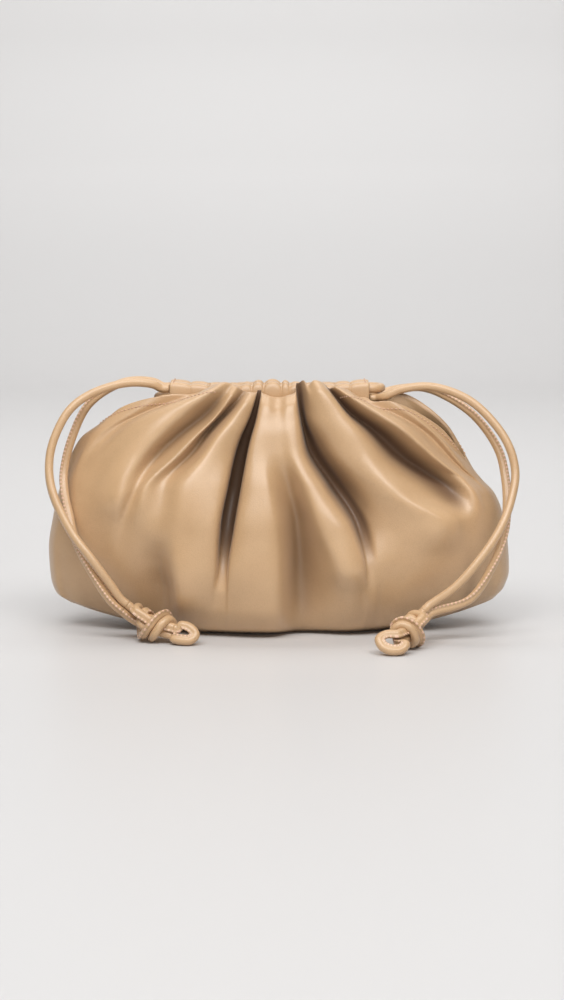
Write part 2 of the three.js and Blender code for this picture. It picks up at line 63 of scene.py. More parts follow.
# Level sections of the pouch from the rim (run 0) to the edge of the base (run 1), as shares of its sizes.
Section = namedtuple("Section", "run height left right left_end right_end crest valley square level fall")
SECTIONS = [
    Section(0.0, 1.0, 0.76, 0.81, 0.835, 0.69, CREST_Y / HALF_DEPTH, VALLEY_Y / HALF_DEPTH, 5.0, 0.5, 3.0),
    Section(0.03, 0.973, 0.785, 0.82, 0.824, 0.68, 0.5, VALLEY_Y / HALF_DEPTH, 4.6, 0.48, 3.0),
    Section(0.12, 0.885, 0.85, 0.845, 0.785, 0.645, 0.58, 0.26, 3.4, 0.4, 3.0),
    Section(0.25, 0.755, 0.907, 0.885, 0.69, 0.6, 0.7, 0.27, 2.6, 0.0, 2.0),
    Section(0.4, 0.61, 0.947, 0.93, 0.577, 0.555, 0.86, 0.3, 2.4, 0.0, 2.0),
    Section(0.55, 0.45, 0.98, 0.967, 0.45, 0.475, 0.975, 0.33, 2.3, 0.0, 2.0),
    Section(0.7, 0.29, 1.0, 0.993, 0.32, 0.346, 1.0, 0.33, 2.2, 0.0, 2.0),
    Section(0.85, 0.13, 0.993, 1.0, 0.205, 0.23, 0.93, 0.35, 2.1, 0.0, 2.0),
    Section(0.95, 0.032, 0.973, 0.98, 0.14, 0.16, 0.75, 0.35, 2.2, 0.2, 2.0),
    Section(1.0, 0.0, 0.933, 0.94, 0.11, 0.115, 0.5, 0.28, 2.4, 0.33, 1.7),
]

# The front's pleats from left to right: each line's place across the section and how far it stands out
# from the valley depth (0) to the crest depth (1), both at FOLD_RUNS, its lift of the rim in shares of
# the height, and its number of columns up to the next line.
FOLD_RUNS = [0, 0.12, 0.25, 0.4, 0.55, 0.7, 0.8, 1]
Fold = namedtuple("Fold", "line at out lift cuts")
FRONT_FOLDS = [
    Fold("left end", [-1] * 8,
         [-0.5, -0.3, 0.2, 0.7, 0.9, 1, 1, 1], 0, 2),
    Fold("left vent", [-0.9, -0.95, -0.965, -0.97, -0.97, -0.97, -0.97, -0.97],
         [-0.3, 0.12, 0.4, 0.8, 0.9, 0.9, 0.9, 0.9], -0.01, 2),
    Fold("left gusset", [-0.68, -0.88, -0.94, -0.94, -0.94, -0.94, -0.94, -0.94],
         [0.05, 0.3, 0.7, 0.9, 0.9, 0.79, 0.74, 0.55], -0.035, 2),
    Fold("behind a", [-0.5, -0.79, -0.9, -0.9, -0.9, -0.9, -0.9, -0.9],
         [0, 0.2, 0.72, 0.95, 0.9, 0.79, 0.74, 0.55], -0.04, 3),
    Fold("shoulder a", [-0.42, -0.7, -0.84, -0.84, -0.84, -0.84, -0.84, -0.84],
         [0.85, 0.86, 0.9, 0.96, 0.88, 0.79, 0.74, 0.55], -0.012, 3),
    Fold("ridge a", [-0.32, -0.505, -0.652, -0.702, -0.71, -0.72, -0.72, -0.72],
         [1, 1.08, 1.16, 1.18, 0.88, 0.79, 0.74, 0.55], 0.016, 2),
    Fold("valley a", [-0.27, -0.375, -0.56, -0.64, -0.67, -0.67, -0.67, -0.67],
         [0.75, 0.34, 0.56, 0.93, 0.83, 0.79, 0.74, 0.55], 0.004, 2),
    Fold("ridge a2", [-0.24, -0.318, -0.465, -0.6, -0.61, -0.61, -0.61, -0.61],
         [0.9, 0.8, 0.95, 1.06, 0.89, 0.77, 0.7, 0.55], -0.006, 2),
    Fold("crease ab", [-0.207, -0.296, -0.4, -0.52, -0.52, -0.505, -0.49, -0.52],
         [0.4, 0.26, 0.5, 0.88, 0.92, 0.68, 0.56, 0.6], -0.03, 2),
    Fold("ridge b", [-0.165, -0.235, -0.33, -0.42, -0.42, -0.425, -0.42, -0.43],
         [1, 1.03, 1.06, 1.06, 1.02, 1.07, 1.08, 0.74], -0.03, 3),
    Fold("edge b", [-0.132, -0.16, -0.213, -0.245, -0.27, -0.272, -0.3, -0.37],
         [0.8, 0.8, 0.82, 0.92, 1.0, 1.0, 1.02, 0.9], -0.035, 2),
    Fold("valley bc left", [-0.12, -0.142, -0.188, -0.217, -0.24, -0.247, -0.262, -0.28],
         [0, 0, 0, 0.04, 0.32, 0.8, 0.95, 0.97], -0.03, 1),
    Fold("valley bc right", [-0.105, -0.118, -0.15, -0.174, -0.2, -0.221, -0.226, -0.24],
         [0, 0, 0, 0.03, 0.3, 0.8, 0.96, 1.0], -0.03, 2),
    Fold("edge c left", [-0.096, -0.108, -0.136, -0.156, -0.178, -0.203, -0.21, -0.2],
         [0.8, 0.88, 0.9, 0.9, 0.95, 1.0, 1.0, 1.05], -0.035, 2),
    Fold("ridge c left", [-0.06, -0.075, -0.085, -0.05, -0.02, -0.012, -0.012, -0.02],
         [1, 1, 1, 1, 1, 1.02, 1.05, 1.1], -0.045, 3),
    Fold("valley c", [-0.005, 0, 0.012, 0.045, 0.082, 0.09, 0.09, 0.085],
         [0.9, 0.96, 0.93, 0.6, 0.4, 0.36, 0.4, 0.7], -0.062, 3),
    Fold("ridge c right", [0.045, 0.05, 0.07, 0.135, 0.195, 0.265, 0.29, 0.3],
         [1, 1, 1, 1, 1.03, 1.1, 0.98, 0.85], -0.045, 2),
    Fold("edge c right", [0.083, 0.094, 0.115, 0.2, 0.3, 0.352, 0.36, 0.36],
         [0.85, 0.88, 0.88, 0.9, 1.0, 1.05, 0.95, 0.82], -0.035, 2),
    Fold("valley cd left", [0.096, 0.112, 0.145, 0.24, 0.342, 0.374, 0.379, 0.38],
         [0, 0, 0, 0.06, 0.38, 0.86, 0.94, 0.8], 0, 1),
    Fold("valley cd right", [0.106, 0.124, 0.168, 0.27, 0.368, 0.4, 0.408, 0.408],
         [0.1, 0.1, 0.05, 0.1, 0.44, 0.87, 0.93, 0.8], 0.0, 2),
    Fold("flank d", [0.13, 0.14, 0.215, 0.315, 0.405, 0.43, 0.44, 0.44],
         [0.42, 0.45, 0.45, 0.38, 0.64, 0.88, 0.88, 0.77], 0.015, 2),
    Fold("shoulder d", [0.158, 0.2, 0.29, 0.4, 0.49, 0.51, 0.53, 0.53],
         [0.85, 0.85, 0.83, 0.76, 0.8, 0.87, 0.87, 0.74], 0.002, 2),
    Fold("ridge d", [0.19, 0.278, 0.405, 0.52, 0.7, 0.68, 0.68, 0.68],
         [1, 1, 1, 1.02, 1.12, 0.88, 0.83, 0.68], 0.022, 2),
    Fold("edge d", [0.235, 0.34, 0.49, 0.63, 0.76, 0.76, 0.76, 0.76],
         [0.85, 0.85, 0.85, 0.88, 1.1, 0.88, 0.83, 0.68], 0.012, 2),
    Fold("valley de", [0.275, 0.38, 0.61, 0.78, 0.81, 0.82, 0.82, 0.82],
         [0.12, 0.02, 0.0, 0.42, 0.98, 0.88, 0.83, 0.68], -0.02, 3),
    Fold("ridge e", [0.31, 0.525, 0.865, 0.89, 0.885, 0.87, 0.87, 0.87],
         [0.85, 0.95, 1.1, 1.14, 1.0, 0.88, 0.83, 0.68], -0.004, 2),
    Fold("shoulder e", [0.375, 0.6, 0.915, 0.93, 0.93, 0.92, 0.92, 0.92],
         [0.78, 0.82, 0.88, 1.0, 1, 0.905, 0.83, 0.68], -0.02, 3),
    Fold("behind e", [0.46, 0.71, 0.945, 0.955, 0.955, 0.955, 0.955, 0.955],
         [0.1, 0.15, 0.5, 0.9, 0.97, 0.95, 0.93, 0.85], -0.065, 2),
    Fold("ridge f", [0.6, 0.82, 0.962, 0.972, 0.972, 0.972, 0.972, 0.972],
         [0.1, 0.35, 0.6, 0.9, 0.97, 0.95, 0.95, 0.9], -0.06, 2),
    Fold("right vent", [0.86, 0.93, 0.98, 0.987, 0.987, 0.987, 0.987, 0.987],
         [-0.3, 0, 0.4, 0.85, 0.95, 0.95, 0.95, 0.95], -0.06, 2),
    Fold("right end", [1] * 8,
         [-0.5, -0.3, 0.2, 0.7, 0.9, 1, 1, 1], 0, 0),
]
LIFT_RUN = 0.2
# Lines of the gussets, which lie deep but get no painted crease shade.
UNSHADED = ("left end", "left vent", "left gusset", "behind a", "behind e", "ridge f", "right vent",
            "right end")
UNSHADED_STAND = 0.8
# Lines of the tight valleys, where little light gets in, so their painted shade stays dark up to their ends.
TIGHT = ("valley bc left", "valley bc right", "valley cd left", "valley cd right", "valley de")
TIGHT_FALL = 2.5
BACK_LIFT = -0.012
BACK_FOLDS = [
    Fold("back " + f.line, [-a for a in f.at], f.out, min(f.lift, BACK_LIFT),
         FRONT_FOLDS[i - 1].cuts if i else 0)
    for i, f in reversed(list(enumerate(FRONT_FOLDS)))
]
FOLDS = {"front": FRONT_FOLDS, "back": BACK_FOLDS}

# Dents (push below 0) and swells (above 0) of both panels, each along a line from (x, z) to (x2, z2) with
# a half width across it. The back has them the other way round.
Swell = namedtuple("Swell", "name x z x2 z2 width push")
SWELLS = [
    Swell("right side crease", 133, 88, 137, 62, 7, -2.5),
]

# How far the gathered mouth sags between the channels' ends, and the creases between the gathers of the
# channels, from left to right.
MOUTH_SAG = 3.4
SLEEVE_SQUARENESS = 0.6
GATHERS = [CHANNEL_LEFT, -57, -45, -34, -25, -17.4, -9.7, 1.6, 7.1, 16, 26, 36, 46, CHANNEL_RIGHT]

# Knots, free strands and end loops, with route points in millimetres.
KNOT_ROUTE = [
    (-3.5, 1.0, 0.1, 90), (-2.5, 0.45, -0.2, 90), (-1.4, 0.1, -0.4, 90), (0.0, 0.0, -0.5, 90),
    (1.15, 0.1, -0.75, 100), (1.75, 0.75, -0.85, 135), (1.45, 1.3, -0.1, 165), (1.05, 0.85, 0.95, 180),
    (0.6, -0.3, 1.35, 180), (0.1, -1.15, 0.75, 180), (-0.4, -1.35, -0.35, 180), (-0.95, -0.65, -1.25, 180),
    (-1.4, 0.4, -1.35, 180), (-1.7, 1.2, -0.6, 165), (-1.6, 1.05, 0.3, 140), (-0.9, 0.4, 0.6, 100),
    (0.1, 0.0, 0.55, 90), (1.2, 0.0, 0.4, 90), (2.8, 0.0, 0.3, 90),
]
Knot = namedtuple("Knot", "x y axis hand")
Tie = namedtuple("Tie", "name exit turn lane knot front back loop")
TIES = [
    Tie("left", CHANNEL_LEFT, CHANNEL_RIGHT, UPPER_LANE, Knot(-80, -61, (0.93, -0.3, -0.22), 1),
        [(-81, -10, 158), (-98, -13, 159), (-121, -17, 152), (-134, -22, 142), (-144, -28, 122),
         (-146, -33, 106), (-143, -39, 91), (-131, -48, 68), (-119, -54, 53), (-107, -56, 37)],
        [(-82, 9, 158), (-100, 6, 158), (-122, 0, 145), (-133, -8, 124), (-138, -16, 102),
         (-137, -23, 89), (-134, -28.5, 77), (-129, -38.5, 60.5), (-118, -50, 42), (-107, -55, 26)],
        [(-61, -68, 12), (-55, -70, 10.5), (-52, -72, 6.5), (-55, -74, 3.5), (-60, -74, 3.2), (-66, -71, 4)]),
    Tie("right", CHANNEL_RIGHT, CHANNEL_LEFT, LOWER_LANE, Knot(81, -82, (-0.52, -0.85, -0.08), -1),
        [(68, -13, 150.5), (78, -14, 155), (96, -14, 157), (115, -17, 152), (129, -21, 143), (145, -29, 123),
         (150, -35, 105), (147, -43, 88), (139, -53, 70), (125, -61, 51), (110, -64, 35)],
        [(68, 13, 150.5), (78, 13, 153), (94, 9, 154), (110, 4, 148), (127, -2, 136), (141, -13, 116),
         (145, -22, 98), (145, -34, 80), (142, -45, 64), (134, -54, 46), (120, -61, 27)],
        [(66, -98, 12), (61.5, -101, 9.5), (63.5, -104, 5.4), (69, -106, 3.3), (75, -105, 3.6),
         (78, -102, 6.5)]),
]


def add_camera():
    """The photograph's view: level with the belly, from a little above."""
    aim = Vector((2, 0, 81.6)) * MM
    distance, elevation = 1600 * MM, math.radians(8)
    data = bpy.data.cameras.new("camera")
    data.sensor_width = 36
    data.lens = 36 * distance / (650 * MM)
    camera = bpy.data.objects.new("camera", data)
    bpy.context.scene.collection.objects.link(camera)
    camera.location = aim + distance * Vector((0, -math.cos(elevation), math.sin(elevation)))
    camera.rotation_euler = (math.radians(90) - elevation, 0, 0)
    bpy.context.scene.camera = camera


def smooth(t):
    t = np.clip(t, 0, 1)
    return t * t * (3 - 2 * t)


def mix(a, b, t):
    return a + (b - a) * t


def curve_at(places, values, at):
    """A curve through the values at the given places, with slopes held so that it never overshoots."""
    places, values = np.asarray(places, float), np.asarray(values, float)
    at = np.asarray(at, float)
    spans = np.diff(places)
    grades = np.diff(values) / spans
    slopes = np.empty_like(values)
    slopes[0], slopes[-1] = grades[0], grades[-1]
    product = grades[:-1] * grades[1:]
    total = np.where(product > 0, grades[:-1] + grades[1:], 1)
    slopes[1:-1] = np.where(product > 0, 2 * product / total, 0)
    i = np.clip(np.searchsorted(places, at, side="left") - 1, 0, len(spans) - 1)
    t = np.clip((at - places[i]) / spans[i], 0, 1)
    start = t * (1 - t) ** 2 * spans[i] * slopes[i]
    end = t * t * (1 - t) * spans[i] * slopes[i + 1]
    return mix(values[i], values[i + 1], t * t * (3 - 2 * t)) + start - end


def section(column, run):
    return curve_at([s.run for s in SECTIONS], [getattr(s, column) for s in SECTIONS], run)


def by_end(share, left, right):
    return np.where(share < 0, left, right)


def height_at(share, run):
    """Height of a section at a share of its half width."""
    middle = BAG_HEIGHT * section("height", run)
    last = BAG_HEIGHT * by_end(share, section("left_end", run), section("right_end", run))
    level = section("level", run)
    past = np.clip((np.abs(share) - level) / (1 - level), 0, 1)
    return mix(middle, last, past ** section("fall", run))


def fold_points(side, runs):
    """Where each line of a panel crosses the levels of the given runs, and how far it stands out there."""
    runs = np.asarray(runs, float)[:, None]
    at = np.stack([curve_at(FOLD_RUNS, f.at, runs[:, 0]) for f in FOLDS[side]], axis=1)
    out = np.stack([curve_at(FOLD_RUNS, f.out, runs[:, 0]) for f in FOLDS[side]], axis=1)
    lift = np.array([f.lift for f in FOLDS[side]])[None, :] * (1 - smooth(runs / LIFT_RUN))
    half = BAG_WIDTH / 2 * by_end(at, section("left", runs), section("right", runs))
    rounding = np.sqrt(np.maximum(0, 1 - np.abs(at) ** section("square", runs)))
    depth = HALF_DEPTH * rounding * mix(section("valley", runs), section("crest", runs), out)
    z = height_at(at, runs) + BAG_HEIGHT * lift
    return np.stack([at * half, -depth if side == "front" else depth, z], axis=2), out


def wall_rings(runs, finer):
    """Closed level rings of the outer skin, as smooth curves through the fold lines of both panels."""
    front, front_out = fold_points("front", runs)
    back, back_out = fold_points("back", runs)
    points = np.concatenate([front, back[:, -2:0:-1]], axis=1)
    outs = np.concatenate([front_out, back_out[:, -2:0:-1]], axis=1)
    lines = [f.line for f in FRONT_FOLDS] + [f.line[5:] for f in BACK_FOLDS[-2:0:-1]]
    # The stands set only the painted crease shade of the pouch leather: the gussets' lines are kept out of it
    # and the tight valleys stay dark longer.
    smooth_lines = [i for i, line in enumerate(lines) if line in UNSHADED]
    outs[:, smooth_lines] = np.maximum(outs[:, smooth_lines], UNSHADED_STAND)
    tight_lines = [i for i, line in enumerate(lines) if line in TIGHT]
    outs[:, tight_lines] = outs[:, tight_lines] ** TIGHT_FALL
    cuts = [f.cuts for f in FRONT_FOLDS[:-1]]
    cuts += cuts
    count = len(cuts)
    columns, stands = [], []
    for i, cut in enumerate(cuts):
        a, b, c, d = (points[:, (i + k) % count] for k in (-1, 0, 1, 2))
        knots = [np.zeros(len(points))]
        for first, second in ((a, b), (b, c), (c, d)):
            knots.append(knots[-1] + np.maximum(np.linalg.norm(second - first, axis=1) ** 0.5, 1e-3))
        for t in np.arange(cut * finer) / (cut * finer):
            columns.append(spline_point(a, b, c, d, [k[:, None] for k in knots], t))
            stands.append(mix(outs[:, i], outs[:, (i + 1) % count], smooth(t)))
    return np.stack(columns, axis=1), np.stack(stands, axis=1)


def spline_point(a, b, c, d, k, t):
    """A point at t between b and c of the Catmull-Rom curve with knots k."""
    at = mix(k[1], k[2], t)
    ab = mix(a, b, (at - k[0]) / (k[1] - k[0]))
    bc = mix(b, c, (at - k[1]) / (k[2] - k[1]))
    cd = mix(c, d, (at - k[2]) / (k[3] - k[2]))
    first = mix(ab, bc, (at - k[0]) / (k[2] - k[0]))
    second = mix(bc, cd, (at - k[1]) / (k[3] - k[1]))
    return mix(first, second, (at - k[1]) / (k[2] - k[1]))


def swells_at(x, z):
    """The push of all swells and dents at places on a panel."""
    total = np.zeros_like(x)
    for s in SWELLS:
        ax, az = s.x2 - s.x, s.z2 - s.z
        t = np.clip(((x - s.x) * ax + (z - s.z) * az) / (ax * ax + az * az), 0, 1)
        distance = np.hypot(x - s.x - t * ax, z - s.z - t * az)
        total += s.push * np.exp(-((distance / s.width) ** 2))
    return total


def outward(rings):
    """Outward directions of the points of closed rings that run down the wall."""
    across = np.roll(rings, -1, axis=1) - np.roll(rings, 1, axis=1)
    normal = np.cross(np.gradient(rings, axis=0), across)
    return normal / np.maximum(np.linalg.norm(normal, axis=2, keepdims=True), 1e-9)


def pouch_rows(finer=4):
    """Closed rows of the whole skin: the base, up the outside, over the rim and down the inside."""
    runs = np.concatenate([[0], np.linspace(0.006, 0.2, 26), np.linspace(0.21, 1, 100)])
    skin, stand = wall_rings(runs, finer)
    sign = np.where(skin[..., 1] < 0, -1.0, 1.0)
    half_count = skin.shape[1] // 2
    swell = swells_at(skin[..., 0] * -sign, skin[..., 2])
    fade = smooth(runs / 0.15)[:, None] * (1 - smooth((runs - 0.9) / 0.1))[:, None]
    middle = 1 - np.abs(skin[..., 0] / (BAG_WIDTH / 2)) ** 6
    skin[..., 1] += sign * swell * fade * np.clip(middle, 0, 1)
    normal = outward(skin)

    edge = skin[-1]
    half = BAG_WIDTH / 2 * by_end(edge[:, 0], section("left", 1), section("right", 1))
    own = np.clip(edge[:, 0] / half, -1, 1)
    ordered = np.linspace(-1, 1, half_count + 1)
    ordered = np.concatenate([ordered, ordered[-2:0:-1]])

    def base(inset, raised):
        share = mix(own, ordered, inset)
        across = BAG_WIDTH / 2 * by_end(share, section("left", 1), section("right", 1))
        return np.stack([share * across, edge[:, 1] * (1 - inset), height_at(share, 1.0) + raised], axis=1)

    under = [base(inset, 0) for inset in np.linspace(1, 0, 9)[:-1]]
    rim, rim_out = skin[0], normal[0]
    past_right, past_left = rim[:, 0] - CHANNEL_RIGHT + 2, CHANNEL_LEFT + 2 - rim[:, 0]
    inside_channel = 1 - smooth(past_right / 8) - smooth(past_left / 8)
    seat = rim.copy()
    seat[:, 1] = sign[0] * (CHANNEL_Y + CHANNEL_THICKNESS / 2 + CHANNEL_RUCHE + 0.1)
    seat[:, 2] = CHANNEL_TOP - 11
    edge_seat = rim - rim_out * 2.4 - np.array([0, 0, 2.0])
    seat = mix(edge_seat, seat, inside_channel[:, None])
    rise = rim - skin[1]
    rise /= np.maximum(np.linalg.norm(rise, axis=1, keepdims=True), 1e-6)
    top = rim + rise * mix(1.2, 4.5, inside_channel[:, None])
    back = mix(rim, seat, 0.7)
    back[:, 2] = np.maximum(rim[:, 2], seat[:, 2]) + mix(0.8, 3.0, inside_channel)
    over = []
    for t in np.linspace(0, 1, 12)[1:]:
        rising = (1 - t) ** 3 * rim + 3 * t * (1 - t) ** 2 * top
        over.append(rising + 3 * t * t * (1 - t) * back + t ** 3 * seat)

    inner_runs = [20, 32, 44, 56, 68, 80, 92, 104, 116, 126]
    inner = [skin[i] - normal[i] * LEATHER for i in inner_runs]
    floor = [base(inset, LEATHER) for inset in np.linspace(0, 1, 7)[1:]]
    rows = under + list(skin[::-1]) + over + inner + floor
    # The stand of each row, which only sets the painted crease shade: the underside is left unshaded, and the
    # inside and its floor get the full painted shade.
    depth = [np.ones(skin.shape[1])] * len(under) + list(stand[::-1])
    depth += [stand[0]] * len(over) + [np.zeros(skin.shape[1])] * (len(inner) + len(floor))
    rows, depth = np.array(rows), np.array(depth)
    return np.concatenate([rows, rows[:, :1]], axis=1), np.concatenate([depth, depth[:, :1]], axis=1)


def mesh_object(name, bm, material):
    mesh = bpy.data.meshes.new(name)
    bm.to_mesh(mesh)
    bm.free()
    mesh.materials.append(material)
    for polygon in mesh.polygons:
        polygon.use_smooth = True
    piece = bpy.data.objects.new(name, mesh)
    bpy.context.scene.collection.objects.link(piece)
    return piece


def finish_piece(piece, slot, *nodes):
    """A piece that stands for CAD nodes and moves with the one body."""
    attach(piece, "root")
    if nodes:
        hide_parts(*nodes)
    return piece


def grid_mesh(rows, **layers):
    """A bmesh grid moved onto rows of points, in millimetres, with equal points merged and named values."""
    count_y, count_x = rows.shape[:2]
    bm = bmesh.new()
    bmesh.ops.create_grid(bm, x_segments=count_x - 1, y_segments=count_y - 1, size=1)
    made = {name: bm.verts.layers.float.new(name) for name in layers}
    for v in bm.verts:
        i = round((v.co.y + 1) / 2 * (count_y - 1))
        j = round((v.co.x + 1) / 2 * (count_x - 1))
        for name, layer in made.items():
            v[layer] = layers[name][i, j]
        v.co = rows[i, j] * MM
    bmesh.ops.remove_doubles(bm, verts=bm.verts, dist=1e-6)
    bmesh.ops.dissolve_degenerate(bm, dist=1e-7, edges=bm.edges)
    bmesh.ops.recalc_face_normals(bm, faces=bm.faces)
    return bm


def add_pouch(material):
    rows, stand = pouch_rows()
    piece = mesh_object("pouch_skin", grid_mesh(rows, stand=stand), material)
    return finish_piece(piece, "pouch_leather", "pouch_body")


def mouth_sag(x):
    """How far the channels and the cords in them hang down at x."""
    t = (x - CHANNEL_LEFT) / (CHANNEL_RIGHT - CHANNEL_LEFT)
    return MOUTH_SAG * np.sin(math.pi * np.clip(t, 0, 1)) ** 0.7


class Route:
    """A smooth curve through points (centripetal Catmull-Rom), sampled by length, in millimetres."""

    def __init__(self, points, fine=24):
        p = [Vector(q) for q in points]
        p = [2 * p[0] - p[1], *p, 2 * p[-1] - p[-2]]
        line = []
        for a, b, c, d in zip(p, p[1:], p[2:], p[3:]):
            knots = [0]
            for first, second in ((a, b), (b, c), (c, d)):
                knots.append(knots[-1] + max((second - first).length ** 0.5, 1e-4))
            for i in range(fine):
                line.append(spline_point(a, b, c, d, knots, i / fine))
        self.line = np.array(line + [p[-2]])
        steps = np.linalg.norm(np.diff(self.line, axis=0), axis=1)
        self.at = np.concatenate([[0], np.cumsum(steps)])
        self.length = self.at[-1]

    def points(self, step):
        count = max(2, round(self.length / step)) + 1
        return self.at_lengths(np.linspace(0, self.length, count))

    def at_lengths(self, lengths):
        return np.stack([np.interp(lengths, self.at, self.line[:, i]) for i in range(3)], axis=1)


def steady_frames(points, facing):
    """Tangents and ups along points. The up starts towards facing and never twists about the curve."""
    tangents = np.gradient(points, axis=0)
    tangents /= np.linalg.norm(tangents, axis=1, keepdims=True)
    up = np.asarray(facing, float)
    ups = []
    for tangent in tangents:
        up = up - tangent * up.dot(tangent)
        up = up / np.linalg.norm(up)
        ups.append(up)
    return tangents, np.array(ups)


def towards(tangents, facing):
    """Ups that keep a seam turned towards facing."""
    up = facing - tangents * (tangents @ facing)[:, None]
    return up / np.linalg.norm(up, axis=1, keepdims=True)


def sweep_rows(points, profile, tangents, ups):
    """Rows of points of a profile swept along points, closed at both ends."""
    side = np.cross(tangents, ups)
    profile = np.asarray(profile)
    rings = points[:, None] + side[:, None] * profile[None, :, :1] + ups[:, None] * profile[None, :, 1:]
    rings = np.concatenate([rings, rings[:, :1]], axis=1)
    ends = [np.repeat(points[i][None, None], rings.shape[1], axis=1) for i in (0, -1)]
    return np.concatenate([ends[0], rings, ends[1]], axis=0)


def cord_profile():
    """A round cord with the stitched edge of its seam standing out at its upper side, and its seam share."""
    radius, lip, thick = CORD_DIAMETER / 2 - 0.1, 1.3, 0.8
    start = math.asin(thick / radius)
    arc = [(radius * math.sin(a), radius * math.cos(a)) for a in np.linspace(start, 2 * math.pi - start, 19)]
    edge = [(-thick * 0.9, radius + lip * 0.7), (-thick * 0.5, radius + lip), (thick * 0.5, radius + lip),
            (thick * 0.9, radius + lip * 0.7)]
    return arc + edge, [0.0] * len(arc) + [1.0] * len(edge)


def knot_routes(knot):
    """The centre lines of a knot's two strands, the upper one first, with the knot lying on the floor."""
    along = Vector(knot.axis).normalized()
    out = (Vector((0, 0, 1)).cross(along) * -knot.hand).normalized()
    up = (out.cross(along) * knot.hand).normalized()
    middle = [(along * a + up * u + out * o) * CORD_DIAMETER for a, u, o, _ in KNOT_ROUTE]
    strands = []
    for sign in (1, -1):
        strand = []
        for i, (point, row) in enumerate(zip(middle, KNOT_ROUTE)):
            tangent = (middle[min(i + 1, len(middle) - 1)] - middle[max(i - 1, 0)]).normalized()
            angle = math.radians(row[3])
            side = along * math.cos(angle) + up * math.sin(angle)
            side = (side - tangent * side.dot(tangent)).normalized()
            strand.append(point + side * (sign * CORD_DIAMETER / 2))
        strands.append(strand)
    lowest = min(Route(s).line[:, 2].min() for s in strands)
    lift = Vector((knot.x, knot.y, SEAT_GAP + CORD_DIAMETER / 2 - lowest))
    return [Route([p + lift for p in s]) for s in strands], along


def add_cords(material):
    """Each drawstring is one cord: front strand, knot, end loop, knot again and back strand, in one frame."""
    profile, seam = cord_profile()
    for tie in TIES:
        outward_x = math.copysign(1, tie.exit)
        knots, along = knot_routes(tie.knot)
        paths = {}
        for side, knot, points in (("front", knots[0], tie.front), ("back", knots[1], tie.back)):
            lane = Vector((tie.exit, -CHANNEL_Y if side == "front" else CHANNEL_Y, tie.lane))
            first = knot.line[0]
            entering = (knot.line[1] - first) / np.linalg.norm(knot.line[1] - first)
            start = [lane + Vector((outward_x * reach, 0, 0)) for reach in (SEAT_GAP, LEAD)]
            paths[side] = Route([*start, *points, first - entering * LEAD, first])
        ends = [r.line[-1] for r in knots]
        leave = [(r.line[-1] - r.line[-2]) / np.linalg.norm(r.line[-1] - r.line[-2]) for r in knots]
        beyond = [end + away * LEAD / 2 for end, away in zip(ends, leave)]
        loop = Route([ends[0], beyond[0], *tie.loop, beyond[1], ends[1]])
        parts = [
            ("strand_front", paths["front"].points(1.1)), ("knot_upper", knots[0].points(0.7)),
            ("loop", loop.points(0.7)), ("knot_lower", knots[1].points(0.7)[::-1]),
            ("strand_back", paths["back"].points(1.1)[::-1]),
        ]
        line = np.concatenate([parts[0][1]] + [points[1:] for _, points in parts[1:]])
        tangents, ups = steady_frames(line, (0, 1, 0.3))
        tail = len(parts[-1][1])
        wanted = towards(tangents[-tail:], np.array([outward_x * 0.5, -0.8, 0.1]))
        carried = ups[-tail:]
        across = np.cross(tangents[-tail:], carried)
        angle = np.unwrap(np.arctan2(np.sum(wanted * across, axis=1), np.sum(wanted * carried, axis=1)))
        angle = (angle * smooth(np.arange(tail) / (tail * 0.35)))[:, None]
        ups[-tail:] = carried * np.cos(angle) + across * np.sin(angle)
        at = np.concatenate([[0], np.cumsum(np.linalg.norm(np.diff(line, axis=0), axis=1))])
        pieces, first = {}, 0
        for name, points in parts:
            span = slice(first, first + len(points))
            rows = sweep_rows(line[span], profile, tangents[span], ups[span])
            seams = np.tile(seam + seam[:1], (len(rows), 1))
            runs = np.concatenate([[at[span][0]], at[span], [at[span][-1]]])
            bm = grid_mesh(rows, seam=seams, run=np.tile(runs[:, None], (1, rows.shape[1])))
            pieces[name] = mesh_object(f"{tie.name}_{name}", bm, material)
            first += len(points) - 1
        nodes = {"knot_upper": f"knot_{tie.name}", "knot_lower": f"knot_{tie.name}",
                 "loop": f"end_loop_{tie.name}",
                 "strand_front": f"drawstring_{tie.name}_front_strand",
                 "strand_back": f"drawstring_{tie.name}_back_strand"}
        for name, piece in pieces.items():
            finish_piece(piece, "cord_leather", nodes[name])
        for side, name in (("front", "strand_front"), ("back", "strand_back")):
            path = paths[side]
            path.points(1.1) * MM


def add_held_runs(material):
    for tie in TIES:
        away = math.copysign(1, tie.turn)
        turn = [(tie.turn + away * CHANNEL_Y * math.sin(a), -CHANNEL_Y * math.cos(a), tie.lane)
                for a in np.linspace(0, math.pi, 9)]
        route = Route([(tie.exit, -CHANNEL_Y, tie.lane), *turn, (tie.exit, CHANNEL_Y, tie.lane)])
        circle = [(2.8 * math.sin(a), 2.8 * math.cos(a)) for a in np.linspace(0, 2 * math.pi, 17)[:-1]]
        line = route.points(1.2)
        line[:, 2] -= mouth_sag(line[:, 0])
        rows = sweep_rows(line, circle, *steady_frames(line, (0, 0, 1)))
        piece = mesh_object(f"run_{tie.name}", grid_mesh(rows), material)
        finish_piece(piece, "cord_leather", f"drawstring_{tie.name}_run")


def squared(v):
    """A cosine or sine drawn towards a rounded rectangle."""
    return np.sign(v) * np.abs(v) ** SLEEVE_SQUARENESS


